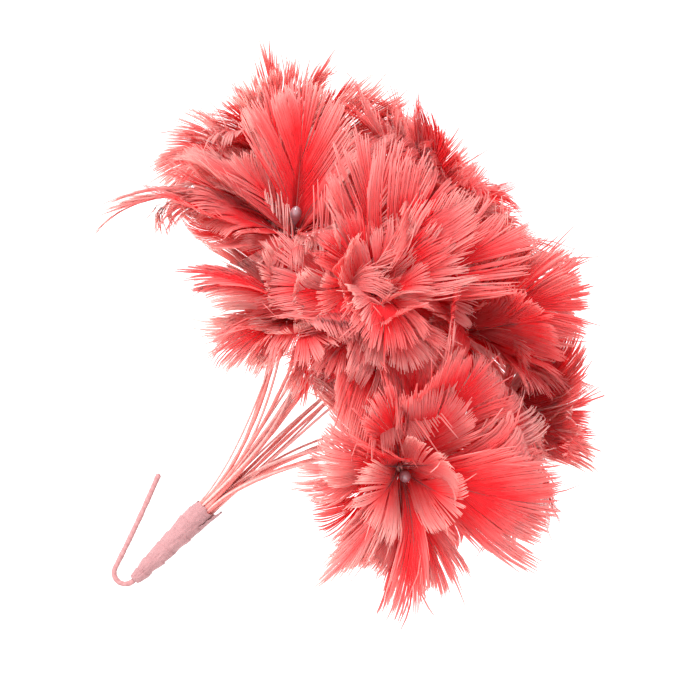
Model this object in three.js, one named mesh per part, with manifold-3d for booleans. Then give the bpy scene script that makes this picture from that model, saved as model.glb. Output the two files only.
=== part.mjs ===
// A millinery spray: feather flowers on soft wire stems, lashed with thread, bound with tape
// and finished with a bent wire hook. Units are millimetres. +Z runs up the bound stem, and the
// origin is on its axis at the lower tip of the tape, where the spray is gripped or sewn on.
// +X and -Y look towards the lower right and the front of the spray.
import * as THREE from "three";
import { mergeVertices } from "three/addons/utils/BufferGeometryUtils.js";
import Module from "manifold-3d";

const wasm = await Module();
wasm.setup();

// ---- Driving dimensions ----
const GAP = 0.3; // clearance between pieces that lie against each other
const HINGE_GAP = 0.45; // between the two ends that meet where a stem bends
const HOOK_HINGE_GAP = 0.75; // the same for the thicker hook wire
const STEM_RADIUS = 0.6; // thread-covered flower wire
const HOOK_RADIUS = 1.05; // paper-covered wire
const THREAD_THICKNESS = 0.4;
const THREAD_TURNS = 6;
const LASHING_TOP = 30; // height of the thread's uppermost turn
const TAPE_LENGTH = 37;
const TAPE_WALL = 0.5;

const NECK_LENGTH = 8; // thread wound round the quills and the wire's end
const NECK_WALL = 0.5;
const NECK_FOOT_RADIUS = 1.2;
const QUILL_SET = 4.5; // how deep the quills and the stalk are wound in
const STALK_RADIUS = 0.4;
const STALK_LENGTH = 5.5; // above the wound neck
const BEAD_RADIUS = 2.1;
const BEAD_LENGTH = 7.2;

const QUILL_WIDTH = 0.85;
const QUILL_BARE_SHARE = 0.08; // of a feather's length, below its vane
const FEATHER_THICKNESS = 0.7;
const FEATHER_CUP = 0.16; // how far a vane's edges curl in, as a share of its half width

const STRAIGHT_END = 5; // of a stem, just below its flower
const STEM_RISE = 0.33; // of a stem's reach: how far it keeps upright as it leaves the tape
const STEM_LEAD = 0.26; // of a stem's reach: how far below its flower it starts to turn to it
const STEM_STEPS = 12;
const HOOK_STEPS = 26;
const WIRE_SIDES = 8;

// The hook lies in the XZ plane: down out of the tape, round the crook, and up beside the tape.
const CROOK_RADIUS = 4.1;
const CROOK_DROP = 0.4; // straight wire between the tape's tip and the crook
const ARM_LENGTH = 38;
const ARM_SPLAY = 20; // degrees between the arm and the bound stem

// Each flower: its heart, where the feathers spread from the wound neck, and the way it faces.
// A feather: degrees round the flower from its uppermost side, anticlockwise seen from in front,
// lean away from the flower's axis at its foot and at its tip, length and width.
const FLOWERS = [
  {
    heart: [50, 4, 127],
    facing: [0.75, 0.05, 0.65],
    feathers: [
      [15, 30, 60, 46, 28],
      [135, 35, 85, 42, 30],
      [250, 35, 80, 46, 30],
    ],
  },
  {
    heart: [4, 34, 143],
    facing: [0.05, 0.72, 0.69],
    feathers: [
      [20, 30, 70, 44, 30],
      [125, 30, 90, 42, 30],
      [245, 30, 90, 42, 30],
    ],
  },
  {
    heart: [-20, 0, 164],
    facing: [-0.12, -0.15, 0.97],
    feathers: [
      [110, 30, 75, 42, 30],
      [350, 30, 70, 40, 30],
      [235, 30, 75, 40, 30],
    ],
  },
  {
    heart: [-66, 16, 142],
    facing: [-0.7, 0.15, 0.7],
    feathers: [
      [0, 25, 55, 46, 30],
      [120, 30, 80, 40, 30],
      [240, 30, 80, 40, 30],
    ],
  },
  {
    heart: [-46, -28, 129],
    facing: [-0.55, -0.45, 0.7],
    feathers: [
      [140, 40, 85, 52, 36],
      [70, 30, 60, 48, 30],
      [350, 20, 35, 40, 26],
      [275, 40, 105, 28, 20],
    ],
  },
  {
    heart: [-24, -35, 112],
    facing: [-0.3, -0.8, 0.4],
    feathers: [
      [185, 45, 120, 34, 22],
      [255, 40, 105, 28, 20],
      [115, 40, 100, 28, 20],
    ],
  },
  {
    heart: [-11, -42, 132],
    facing: [-0.05, -0.9, 0.42],
    feathers: [
      [232, 40, 110, 40, 32],
      [85, 35, 80, 31, 24],
      [340, 35, 60, 38, 28],
    ],
  },
  {
    heart: [38, -42, 98],
    facing: [0.3, -0.93, -0.05],
    feathers: [
      [100, 40, 95, 36, 32],
      [305, 40, 80, 60, 36],
      [246, 40, 85, 48, 20],
      [187, 40, 88, 42, 18],
    ],
  },
  {
    heart: [18, -16, 147],
    facing: [0.4, -0.3, 0.86],
    feathers: [
      [195, 30, 75, 40, 30],
      [310, 30, 75, 42, 27],
      [60, 30, 60, 38, 28],
    ],
  },
];
const FIRST_SLOT = 30; // degrees round the bundle from +X of the first flower's wire

// ---- Derived dimensions ----
const UP = new THREE.Vector3(0, 0, 1);
const SLOT_ANGLE = (2 * Math.PI) / FLOWERS.length;
const BUNDLE_RADIUS = (2 * STEM_RADIUS + GAP) / (2 * Math.sin(SLOT_ANGLE / 2)); // to the wires' centres
const THREAD_INNER = BUNDLE_RADIUS + STEM_RADIUS + GAP;
const THREAD_OUTER = THREAD_INNER + THREAD_THICKNESS;
const LASHING_LENGTH = THREAD_TURNS * THREAD_THICKNESS * 2;
const TAIL_TIP_RADIUS = HOOK_RADIUS + 0.3 * STEM_RADIUS; // the wires run together at the tip
const STEM_START = TAPE_LENGTH + HINGE_GAP; // the lower end of each stem that stands free
const QUILL_RING = STALK_RADIUS + 2 * GAP + FEATHER_THICKNESS / 2; // the quills stand round the stalk
const QUILL_REACH = Math.hypot(QUILL_RING + FEATHER_THICKNESS / 2, QUILL_WIDTH / 2); // to its corners
const NECK_BORE = QUILL_REACH + GAP;
const NECK_TOP_RADIUS = NECK_BORE + NECK_WALL;
const NECK_TOP = HINGE_GAP + NECK_LENGTH; // heights in a flower are from its stem's upper end
const BORE_FLOOR = NECK_TOP - QUILL_SET - GAP;
const SPREAD = NECK_TOP + GAP; // where the feathers start to lean outwards

// ---- Helpers ----
const degrees = THREE.MathUtils.degToRad;

function solidOf(geometry) {
  const bare = new THREE.BufferGeometry().setAttribute("position", geometry.getAttribute("position").clone());
  bare.setIndex(geometry.index ? geometry.index.clone() : null);
  const merged = mergeVertices(bare, 1e-4);
  return new wasm.Manifold(
    new wasm.Mesh({
      numProp: 3,
      vertProperties: merged.attributes.position.array,
      triVerts: new Uint32Array(merged.index.array),
    }),
  );
}

function geometryOf(solid) {
  const mesh = solid.getMesh();
  const geometry = new THREE.BufferGeometry();
  geometry.setAttribute("position", new THREE.BufferAttribute(mesh.vertProperties, 3));
  geometry.setIndex(new THREE.BufferAttribute(mesh.triVerts, 1));
  geometry.computeVertexNormals();
  return geometry;
}

function joined(geometries) {
  return geometryOf(geometries.map(solidOf).reduce((whole, part) => whole.add(part)));
}

// A round bar along a curve, with flat ends.
function barAlong(curve, radius, steps) {
  const section = new THREE.Shape().absarc(0, 0, radius, 0, 2 * Math.PI);
  return new THREE.ExtrudeGeometry(section, {
    curveSegments: WIRE_SIDES / 2,
    extrudePath: curve,
    steps,
    bevelEnabled: false,
  });
}

// A turned solid about +Z from [radius, height] pairs that start and end on the axis or close.
function turned(profile, segments) {
  const points = profile.map(([radius, height]) => new THREE.Vector2(radius, height));
  return new THREE.LatheGeometry(points, segments).rotateX(Math.PI / 2);
}

// ---- The bound stem ----
function slotPoint(slot, radius, height) {
  const angle = degrees(FIRST_SLOT) + slot * SLOT_ANGLE;
  return new THREE.Vector3(radius * Math.cos(angle), radius * Math.sin(angle), height);
}

// The tape: a carrot that swells from the hook wire over the lashing and draws in at its mouth.
function tape() {
  const lashingRadius = THREAD_OUTER + GAP;
  const mouthRadius = THREAD_INNER;
  const lashingFoot = LASHING_TOP - LASHING_LENGTH;
  const lining = [
    [HOOK_RADIUS + GAP, 0],
    [HOOK_RADIUS + GAP + 0.35 * (lashingRadius - HOOK_RADIUS), 0.25 * lashingFoot],
    [HOOK_RADIUS + GAP + 0.65 * (lashingRadius - HOOK_RADIUS), 0.5 * lashingFoot],
    [lashingRadius, lashingFoot - GAP],
    [lashingRadius, LASHING_TOP + GAP],
    [mouthRadius, TAPE_LENGTH - 2],
    [mouthRadius, TAPE_LENGTH],
  ];
  const outside = lining.map(([radius, height]) => [radius + TAPE_WALL, height]);
  return turned([...outside, ...lining.reverse(), outside[0]], 20);
}

// Thread wound round the wires near the top of the tape, as one ridged sleeve.
function lashing() {
  const pitch = LASHING_LENGTH / THREAD_TURNS;
  const valley = THREAD_INNER + THREAD_THICKNESS / 2;
  const bottom = LASHING_TOP - LASHING_LENGTH;
  const profile = [[THREAD_INNER, bottom]];
  for (let turn = 0; turn < THREAD_TURNS; turn++) {
    profile.push([valley, bottom + turn * pitch], [THREAD_OUTER, bottom + (turn + 0.5) * pitch]);
  }
  profile.push([valley, LASHING_TOP], [THREAD_INNER, LASHING_TOP], [THREAD_INNER, bottom]);
  return turned(profile, 20);
}

// The ends of all the wires under the tape, cut at stepped heights and glued round the hook wire.
function wireTails() {
  const tails = FLOWERS.map((_, slot) => {
    const cut = 0.16 * TAPE_LENGTH + (slot % 3) * 3;
    const low = slotPoint(slot, TAIL_TIP_RADIUS, cut);
    const bend = slotPoint(slot, BUNDLE_RADIUS, LASHING_TOP - LASHING_LENGTH - 1);
    const path = new THREE.CurvePath();
    path.add(new THREE.LineCurve3(low, bend));
    path.add(new THREE.LineCurve3(bend, slotPoint(slot, BUNDLE_RADIUS, TAPE_LENGTH)));
    return barAlong(path, STEM_RADIUS, 4);
  });
  const hookEnd = new THREE.CylinderGeometry(HOOK_RADIUS, HOOK_RADIUS, 0.7 * TAPE_LENGTH, 12);
  hookEnd.rotateX(Math.PI / 2).translate(0, 0, 0.35 * TAPE_LENGTH);
  return joined([hookEnd, ...tails]);
}

// The hook wire below the tape, from where it bends at the tape's tip.
function hook() {
  const turn = new THREE.Vector3(0, 0, -CROOK_DROP);
  const sweep = Math.PI - degrees(ARM_SPLAY);
  const crook = Array.from({ length: 13 }, (_, i) => {
    const angle = (sweep * i) / 12;
    const out = CROOK_RADIUS * (Math.cos(angle) - 1);
    return new THREE.Vector3(out, 0, -CROOK_RADIUS * Math.sin(angle)).add(turn);
  });
  const armWay = new THREE.Vector3(-Math.sin(degrees(ARM_SPLAY)), 0, Math.cos(degrees(ARM_SPLAY)));
  const arm = [0.5, 1].map((share) => crook.at(-1).clone().addScaledVector(armWay, share * ARM_LENGTH));
  const curve = new THREE.CatmullRomCurve3([new THREE.Vector3(), ...crook, ...arm], false, "centripetal");
  return barAlong(curve, HOOK_RADIUS, HOOK_STEPS);
}

// ---- One flower ----
// A flower's own frame: its axis, its uppermost side and the side a quarter turn on.
function frameOf(flower) {
  const axis = new THREE.Vector3(...flower.facing).normalize();
  const upper = UP.clone().addScaledVector(axis, -UP.dot(axis)).normalize();
  const side = new THREE.Vector3().crossVectors(axis, upper);
  const neck = new THREE.Vector3(...flower.heart).addScaledVector(axis, -SPREAD);
  return { axis, upper, side, neck };
}

// A stem leaves the bundle upwards and bends over to meet its flower along the flower's axis.
function stem(foot, frame) {
  const reach = frame.neck.clone().sub(foot);
  const bendEnd = reach.clone().addScaledVector(frame.axis, -STRAIGHT_END);
  const start = new THREE.Vector3();
  const path = new THREE.CurvePath();
  const rise = start.clone().addScaledVector(UP, bendEnd.length() * STEM_RISE);
  const lead = bendEnd.clone().addScaledVector(frame.axis, -bendEnd.length() * STEM_LEAD);
  path.add(new THREE.CubicBezierCurve3(start, rise, lead, bendEnd));
  path.add(new THREE.LineCurve3(bendEnd, reach));
  return barAlong(path, STEM_RADIUS, STEM_STEPS);
}

// These stand on the flower's own +Z, with height 0 at the stem's upper end.
function neckWrap() {
  return turned(
    [
      [0, HINGE_GAP],
      [NECK_FOOT_RADIUS, HINGE_GAP],
      [NECK_TOP_RADIUS - 0.4, BORE_FLOOR - 0.5],
      [NECK_TOP_RADIUS, BORE_FLOOR + 0.5],
      [NECK_TOP_RADIUS, NECK_TOP - 0.3],
      [NECK_TOP_RADIUS - 0.2, NECK_TOP],
      [NECK_BORE, NECK_TOP],
      [NECK_BORE, BORE_FLOOR],
      [0, BORE_FLOOR],
    ],
    14,
  );
}

function stamen() {
  const foot = BORE_FLOOR + GAP;
  const shoulder = NECK_TOP + STALK_LENGTH;
  const profile = [
    [0, foot],
    [STALK_RADIUS, foot],
    [STALK_RADIUS, shoulder],
  ];
  const rings = 6;
  for (let i = 1; i < rings; i++) {
    const share = i / rings;
    const girth = Math.sin(Math.PI * share ** 1.35) ** 0.8;
    profile.push([STALK_RADIUS + (BEAD_RADIUS - STALK_RADIUS) * girth, shoulder + share * BEAD_LENGTH]);
  }
  profile.push([0, shoulder + BEAD_LENGTH]);
  return turned(profile, 10);
}

// A feather's width at a share of its length: bare quill, vane broadest past halfway, round tip.
function vaneWidth(share, width) {
  const along = Math.max(0, (share - QUILL_BARE_SHARE) / (1.1 - QUILL_BARE_SHARE));
  return QUILL_WIDTH + (width - QUILL_WIDTH) * Math.sin(Math.PI * along ** 1.2) ** 1.1;
}

// A curved, cupped blade, bent out of a segmented box: the quill stands in the neck's bore and
// the vane arches away from the flower's axis.
function feather([around, leanAtFoot, leanAtTip, length, width]) {
  const rows = 8;
  const blade = new THREE.BoxGeometry(1, 1, 1, 4, rows, 1);
  const place = blade.getAttribute("position");
  const first = degrees(leanAtFoot);
  const turn = degrees(leanAtTip) - first;
  for (let i = 0; i < place.count; i++) {
    const row = Math.round((place.getY(i) + 0.5) * rows);
    const share = Math.max(0, (row - 1) / (rows - 1));
    const across = place.getX(i) * vaneWidth(share, width);
    const arch = first + turn * share;
    const lean = row === 0 ? 0 : row === 1 ? first / 2 : arch;
    const out = QUILL_RING + (length * (Math.cos(first) - Math.cos(arch))) / turn;
    const rise = (length * (Math.sin(arch) - Math.sin(first))) / turn;
    const up = row === 0 ? BORE_FLOOR + GAP : SPREAD + rise;
    const cup = (FEATHER_CUP * across * across) / (width / 2);
    const inward = place.getZ(i) * FEATHER_THICKNESS + cup;
    place.setXYZ(i, out - inward * Math.cos(lean), -across, up + inward * Math.sin(lean));
  }
  return blade.rotateZ(degrees(around));
}

// ---- Assembly ----
const paint = (color, roughness) => new THREE.MeshStandardMaterial({ color, roughness, metalness: 0 });
const TAPE_PAINT = paint(0xe9b3b3, 0.9);
const THREAD_PAINT = paint(0xe07f7a, 0.85);
const WIRE_PAINT = paint(0xf0827c, 0.8);
const HOOK_PAINT = paint(0xe6a3a3, 0.85);
const FEATHER_PAINT = paint(0xe8565a, 0.7);
const BEAD_PAINT = paint(0x9b7f80, 0.25);

const spray = new THREE.Group();

function add(parent, name, geometry, material) {
  const mesh = new THREE.Mesh(geometry, material);
  mesh.name = name;
  parent.add(mesh);
}

// An unnamed shape hangs from a named pivot where the wire bends.
function pivotIn(parent, name, position) {
  const pivot = new THREE.Group();
  pivot.name = name;
  pivot.position.copy(position);
  parent.add(pivot);
  return pivot;
}

add(spray, "stem_tape", tape(), TAPE_PAINT);
add(spray, "binding_thread", lashing(), THREAD_PAINT);
add(spray, "wire_tails", wireTails(), WIRE_PAINT);
add(pivotIn(spray, "hook_bend", new THREE.Vector3(0, 0, -HOOK_HINGE_GAP)), "hook_wire", hook(), HOOK_PAINT);

FLOWERS.forEach((flower, slot) => {
  const name = `flower_${slot + 1}`;
  const frame = frameOf(flower);
  const foot = slotPoint(slot, BUNDLE_RADIUS, STEM_START);
  const bend = pivotIn(spray, `${name}_bend`, foot);
  add(bend, `${name}_stem`, stem(foot, frame), WIRE_PAINT);
  const nod = pivotIn(bend, `${name}_nod`, frame.neck.clone().sub(foot));
  nod.quaternion.setFromRotationMatrix(new THREE.Matrix4().makeBasis(frame.upper, frame.side, frame.axis));
  add(nod, `${name}_neck_wrap`, neckWrap(), THREAD_PAINT);
  add(nod, `${name}_stamen`, stamen(), BEAD_PAINT);
  flower.feathers.forEach((shape, i) => add(nod, `${name}_feather_${i + 1}`, feather(shape), FEATHER_PAINT));
});

export default spray;
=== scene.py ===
# %% [markdown]
# # A spray of feather flowers
# A milliner's spray: nine flowers made of curled, dyed feathers stand on thread-covered wires.
# The wires run together, are lashed with thread and bound with crinkled stem tape, and a
# paper-covered wire leaves the tape's tip and is bent back into a hook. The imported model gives
# every place and every moving body, so it is loaded first and its box is kept.

# %% Load the model
import bpy
import math
import numpy as np
from mathutils import Matrix, Vector


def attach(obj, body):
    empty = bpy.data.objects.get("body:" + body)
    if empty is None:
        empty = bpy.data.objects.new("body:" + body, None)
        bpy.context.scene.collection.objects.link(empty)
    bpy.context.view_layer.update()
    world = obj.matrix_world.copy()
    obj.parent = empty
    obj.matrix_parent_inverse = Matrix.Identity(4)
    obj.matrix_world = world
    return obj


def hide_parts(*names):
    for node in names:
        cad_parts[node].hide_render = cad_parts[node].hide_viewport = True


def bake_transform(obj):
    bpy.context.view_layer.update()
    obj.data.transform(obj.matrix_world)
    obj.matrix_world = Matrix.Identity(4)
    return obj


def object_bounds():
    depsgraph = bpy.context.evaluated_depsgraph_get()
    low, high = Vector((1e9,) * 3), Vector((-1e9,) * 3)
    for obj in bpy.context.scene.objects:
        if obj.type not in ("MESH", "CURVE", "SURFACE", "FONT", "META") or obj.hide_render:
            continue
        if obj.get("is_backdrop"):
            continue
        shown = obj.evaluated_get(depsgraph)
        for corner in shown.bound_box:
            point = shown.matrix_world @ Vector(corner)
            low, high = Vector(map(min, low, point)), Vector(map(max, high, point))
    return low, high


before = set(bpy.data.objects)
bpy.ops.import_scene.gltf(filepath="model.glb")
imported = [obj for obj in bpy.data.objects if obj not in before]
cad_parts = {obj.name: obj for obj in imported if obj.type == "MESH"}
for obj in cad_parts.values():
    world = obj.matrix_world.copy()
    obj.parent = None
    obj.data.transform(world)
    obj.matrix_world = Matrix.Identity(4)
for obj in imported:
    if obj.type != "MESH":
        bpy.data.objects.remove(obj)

cad_low, cad_high = (list(corner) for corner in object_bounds())
MM = 0.001

# %% [markdown]
# ## Camera
# The spray lies on a slant, its bound stem at the lower left. A long lens about a metre away
# keeps the flowers' sizes true, and the camera is rolled so that the stem's axis runs up to the
# right. It could be turned with a Track To constraint, but a roll needs its own matrix.

# %% Camera
lens_data = bpy.data.cameras.new("studio_camera")
lens_data.sensor_width = 36
lens_data.lens = 141
CAMERA_PLACE = (-0.0036, -1.0, 0.115)
camera = bpy.data.objects.new("studio_camera", lens_data)
bpy.context.scene.collection.objects.link(camera)
ROLL = math.radians(45)
right = Vector((math.cos(ROLL), 0, math.sin(ROLL)))
up = Vector((-math.sin(ROLL), 0, math.cos(ROLL)))
turn = Matrix((right, up, Vector((0, -1, 0)))).transposed()
camera.matrix_world = Matrix.Translation(CAMERA_PLACE) @ turn.to_4x4()
bpy.context.scene.camera = camera
print("camera at", [round(v, 3) for v in camera.location])

# %% [markdown]
# ## Studio
# A white sweep and white light from all round: feathers are thin, so much of what reaches the
# eye has come through them from behind. The floor is a broad disc below the hook.

# %% World and lights
scene = bpy.context.scene
scene.view_settings.view_transform = "Standard"
world = bpy.data.worlds.new("white_studio")
scene.world = world
world.use_nodes = True
sky = world.node_tree.nodes["Background"]
sky.inputs["Color"].default_value = (1, 1, 1, 1)
sky.inputs["Strength"].default_value = 1.65


def softbox(name, place, aim, size, watts):
    data = bpy.data.lights.new(name, "AREA")
    data.size = size
    data.energy = watts
    lamp = bpy.data.objects.new(name, data)
    lamp.location = place
    lamp.rotation_euler = (Vector(aim) - Vector(place)).to_track_quat("-Z", "Y").to_euler()
    scene.collection.objects.link(lamp)
    return lamp


softbox("key_light", (-1.0, -0.8, 0.5), (0, 0, 0.13), 0.5, 26)
softbox("fill_light", (0.9, -0.7, 0.2), (0, 0, 0.12), 0.8, 4)
print("lights ready")

# %% Floor
bpy.ops.object.select_all(action="DESELECT")
bpy.ops.mesh.primitive_circle_add(vertices=64, radius=1.5, fill_type="NGON", location=(0, 0, -0.3))
floor = bpy.context.object
floor.name = "floor"
paper = bpy.data.materials.new("white_paper")
paper.use_nodes = True
paper_face = paper.node_tree.nodes["Principled BSDF"]
paper_face.inputs["Base Color"].default_value = (0.9, 0.9, 0.9, 1)
paper_face.inputs["Roughness"].default_value = 0.9
floor.data.materials.append(paper)
floor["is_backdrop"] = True
print("floor:", len(floor.data.polygons), "face")

# %% [markdown]
# ## Feathers
# A feather is a tapering shaft with a row of soft barbs down each side. Near the shaft the barbs
# lie edge to edge and make a smooth vane; towards the rim they part into points and wisps. A
# painted sheet would show the vane but not the frayed rim, and hair would not survive as a mesh,
# so one barb is modelled and then laid along each shaft hundreds of times.

# %% A bar cut into rings
def cut_bar(sides, heights):
    """A bar one unit tall, cut level at the given heights, as its points and its triangles."""
    bpy.ops.object.select_all(action="DESELECT")
    bpy.ops.mesh.primitive_cylinder_add(vertices=sides, radius=1, depth=1, end_fill_type="TRIFAN")
    bar = bpy.context.object
    bpy.ops.object.mode_set(mode="EDIT")
    for height in heights:
        bpy.ops.mesh.select_all(action="SELECT")
        bpy.ops.mesh.bisect(plane_co=(0, 0, height), plane_no=(0, 0, 1))
    bpy.ops.object.mode_set(mode="OBJECT")
    mesh = bar.data
    points = np.empty(len(mesh.vertices) * 3)
    mesh.vertices.foreach_get("co", points)
    mesh.calc_loop_triangles()
    triangles = np.empty(len(mesh.loop_triangles) * 3, dtype=np.int64)
    mesh.loop_triangles.foreach_get("vertices", triangles)
    bpy.data.objects.remove(bar)
    bpy.data.meshes.remove(mesh)
    return points.reshape(-1, 3), triangles.reshape(-1, 3)


# %% One barb and one shaft
def level_cuts(steps):
    return [step / steps - 0.5 for step in range(1, steps)]


BARB_STEPS = 6
middle_first = [0] + [height for height in level_cuts(BARB_STEPS) if height != 0]
barb_points, barb_faces = cut_bar(3, middle_first)
shaft_points, shaft_faces = cut_bar(6, level_cuts(16))
print("one barb:", len(barb_points), "points", len(barb_faces), "faces")
print("one shaft:", len(shaft_points), "points", len(shaft_faces), "faces")

# %% [markdown]
# ### The curved surface of a feather
# A vane is a strip that arches away from the flower's axis, cups along its length and may twist
# or sweep to one side. Each barb is laid on that surface, so the whole vane curls as one.

# %% Vane surface
QUILL_RING = 1.35  # how far out of the neck's middle the quills stand
SPREAD = 8.75  # height over the neck's foot at which the feathers open


class Vane:
    """The surface that a feather's barbs lie on, in the flower's own frame and in millimetres."""

    def __init__(self, around, lean_foot, lean_tip, length, width,
                 cup=0.18, twist=0, sweep=0, curl=0):
        self.around = math.radians(around)
        self.first = math.radians(lean_foot)
        self.turn = math.radians(lean_tip - lean_foot) or 1e-3
        self.length, self.width, self.cup = length, width, cup
        self.twist, self.sweep = math.radians(twist), sweep
        self.curl = math.radians(curl)

    def frame(self, s):
        """Centre, along, across and inward directions at shares s of the length."""
        fine = np.linspace(0, 1.5, 151)
        bend = self.curl * np.clip(fine - 0.5, 0, None) ** 2 * 4
        lean = self.first + self.turn * fine + bend
        step = self.length * (fine[1] - fine[0])
        half_way = (lean[1:] + lean[:-1]) / 2
        out = QUILL_RING + np.concatenate([[0], np.cumsum(np.sin(half_way) * step)])
        rise = SPREAD + np.concatenate([[0], np.cumsum(np.cos(half_way) * step)])
        side = self.sweep * fine ** 2
        o, r, a, l = (np.interp(s, fine, v) for v in (out, rise, side, lean))
        ds = 2 * self.sweep * s / self.length
        along = np.stack([np.sin(l), ds, np.cos(l)], -1)
        along /= np.linalg.norm(along, axis=-1, keepdims=True)
        inward = np.stack([-np.cos(l), 0 * l, np.sin(l)], -1)
        across = np.cross(inward, along)
        t = (self.twist * s)[..., None]
        across, inward = (across * np.cos(t) + inward * np.sin(t),
                          inward * np.cos(t) - across * np.sin(t))
        centre = np.stack([o, a, r], -1)
        return [self.spin(v) for v in (centre, along, across, inward)]

    def spin(self, v):
        c, s = math.cos(self.around), math.sin(self.around)
        x, y, z = v[..., 0], v[..., 1], v[..., 2]
        return np.stack([x * c - y * s, x * s + y * c, z], -1)


print("vane surface ready")

# %% Barbs on a vane
SHAFT_SHARE = 0.56  # the shaft's share of the feather's length; the barbs make the rest
FIRST_ROOT = 0.03
LOBE_SIZES = [2, 4, 7, 12, 18, 26]


def lobes_of(count, rng):
    """Which lobe each barb of one side belongs to, and how close that lobe's tips cling."""
    marks, cling, lobe = [], [], 0
    while len(marks) < count:
        size = int(rng.choice(LOBE_SIZES))
        marks += [lobe] * size
        cling += [1.0 / (1 + 0.22 * size)] * size
        lobe += 1
    return np.array(marks[:count]), np.array(cling[:count])


# %% Barb rows
WISP_CHANCE = 0.06
RUFFLE = 1.6
BARB_THICK = 0.024


def barb_rows(vane, rng, count=62, fray=1.0):
    """Points and faces of all barbs of one feather, with each point's UV and tone."""
    q = (np.arange(count) + 0.5) / count
    q = np.clip(q + rng.uniform(-0.4, 0.4, (2, count)) / count, 0.005, 0.998)[..., None]
    hand = np.array([1.0, -1.0]).reshape(2, 1, 1)
    U = (barb_points[:, 2] + 0.5).reshape(1, 1, -1)
    own = rng.normal(size=(6, 2, count, 1))
    lobes, cling = zip(*(lobes_of(count, rng) for _ in range(2)))
    cling = np.stack(cling)[..., None]
    ragged = fray * rng.uniform(0.6, 1.7)
    wisp = np.where(rng.random((2, count, 1)) < WISP_CHANCE, rng.random((2, count, 1)), 0.0)
    lobe_noise = rng.normal(size=(6, 2, count))
    per_lobe = np.stack([lobe_noise[:, side][:, lobes[side]] for side in range(2)], 1)[..., None]
    half = vane.width / 2
    wild = ragged * (1 + 1.6 * np.exp(-q / 0.12))
    # Each barb runs from its root on the shaft to its end on the feather's outline.
    root = FIRST_ROOT + q * (SHAFT_SHARE - FIRST_ROOT)
    end_x = 0.60 + 0.40 * q ** 0.62
    end_y = half * (0.04 + 0.96 * np.cos(np.pi / 2 * q ** 1.25))
    grow = 1 + wild * (0.055 * per_lobe[0] + 0.03 * own[0])
    grow = np.clip(grow, 0.6, 1.2) * (1 + 0.22 * wisp)
    end_x = root + (end_x - root) * grow + 0.012 * per_lobe[1]
    uneven = ragged * (0.55 * per_lobe[2] + 0.25 * own[1]) * (0.3 + end_y / half)
    end_y = np.abs(end_y * (1 + (grow - 1) * 0.8) + uneven)
    mid_x = root + 0.5 * (end_x - root)
    mid_y = end_y * (0.46 + 0.10 * np.clip(per_lobe[3], -1, 1))
    x = (1 - U) ** 2 * root + 2 * U * (1 - U) * mid_x + U ** 2 * end_x
    y = 2 * U * (1 - U) * mid_y + U ** 2 * end_y
    y += np.sin(np.pi * U) * 0.3 * per_lobe[2] * np.clip(end_y / half, 0, 1)
    # Near their tips the barbs of one lobe run together.
    near_tip = np.clip((U - 0.6) / 0.4, 0, 1)
    pull = near_tip ** 1.3 * np.clip(cling + 0.15 * per_lobe[4], 0.0, 0.85)
    for side in range(2):
        share = np.bincount(lobes[side])[:, None]
        for values, part in ((x, 0.35), (y, 1.0)):
            sums = np.zeros((len(share), values.shape[2]))
            np.add.at(sums, lobes[side], values[side])
            values[side] += part * pull[side] * ((sums / share)[lobes[side]] - values[side])
    step_x = (2 * (1 - U) * (mid_x - root) + 2 * U * (end_x - mid_x)) * vane.length
    step_y = 2 * (1 - U) * mid_y + 2 * U * (end_y - mid_y)
    # The vane is cupped and ruffled, and its loose tips lift off it.
    lift = vane.cup * y ** 2 / half
    turns = x * rng.uniform(0.8, 1.5) + rng.random()
    wave = np.sin(2 * np.pi * turns + hand * rng.uniform(0, 3))
    lift += RUFFLE * wave * (y / half) ** 2
    outer_half = np.clip((U - 0.5) / 0.5, 0, 1)
    lift += wild * (0.7 * per_lobe[5] + 0.3 * own[2]) * outer_half ** 2
    bow = U ** 3 * wisp * 5
    lift += bow * own[5]
    y += bow * own[4] * 0.6
    lift += 0.025 * own[3] + 0.05 * np.clip(q, 0, 1)
    centre, along, across, inward = vane.frame(x)
    middle = centre + across * (hand * y)[..., None] + inward * lift[..., None]
    slope = 2 * vane.cup * y / half
    heading = along * step_x[..., None]
    heading += (across * hand[..., None] + inward * slope[..., None]) * step_y[..., None]
    heading /= np.linalg.norm(heading, axis=-1, keepdims=True)
    wide = np.cross(inward - across * (hand * slope)[..., None], heading)
    wide /= np.linalg.norm(wide, axis=-1, keepdims=True)
    thick = np.cross(heading, wide)
    # A barb is a flat strip that broadens outwards and ends in a point.
    girth = (0.13 + 0.28 * U) * vane.length / 44
    girth *= (1 - 0.72 * np.clip((U - 0.8) / 0.2, 0, 1))
    points = middle + wide * (girth * barb_points[:, 0])[..., None]
    points += thick * (BARB_THICK * barb_points[:, 1])[:, None]
    faces = barb_faces[None] + (np.arange(2 * count) * len(barb_points))[:, None, None]
    tone = np.clip(0.5 + 0.24 * rng.normal() + 0.06 * per_lobe[3] + 0.05 * own[4], 0, 1)
    tone = np.broadcast_to(tone, x.shape).ravel()
    uv = np.stack([np.broadcast_to(U, x.shape), np.clip(x, 0, 1)], -1)
    return points.reshape(-1, 3), faces.reshape(-1, 3), uv.reshape(-1, 2), tone


# %% Shaft, foot and fluff rows
SHAFT_RADIUS = 0.34
FOOT_RADIUS = 0.30
FOOT_DEPTH = 4.3
UPRIGHT = np.array([0.0, 0.0, 1.0])


def shaft_rows(vane):
    """The quill inside the vane, thinner towards its end."""
    u = shaft_points[:, 2] + 0.5
    centre, _, across, inward = vane.frame(u * SHAFT_SHARE)
    girth = SHAFT_RADIUS * (1 - 0.75 * u)
    points = centre + across * (girth * shaft_points[:, 0])[:, None]
    points += inward * (girth * shaft_points[:, 1])[:, None]
    uv = np.stack([0 * u, u], -1)
    return points, shaft_faces, uv, 0 * u


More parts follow.
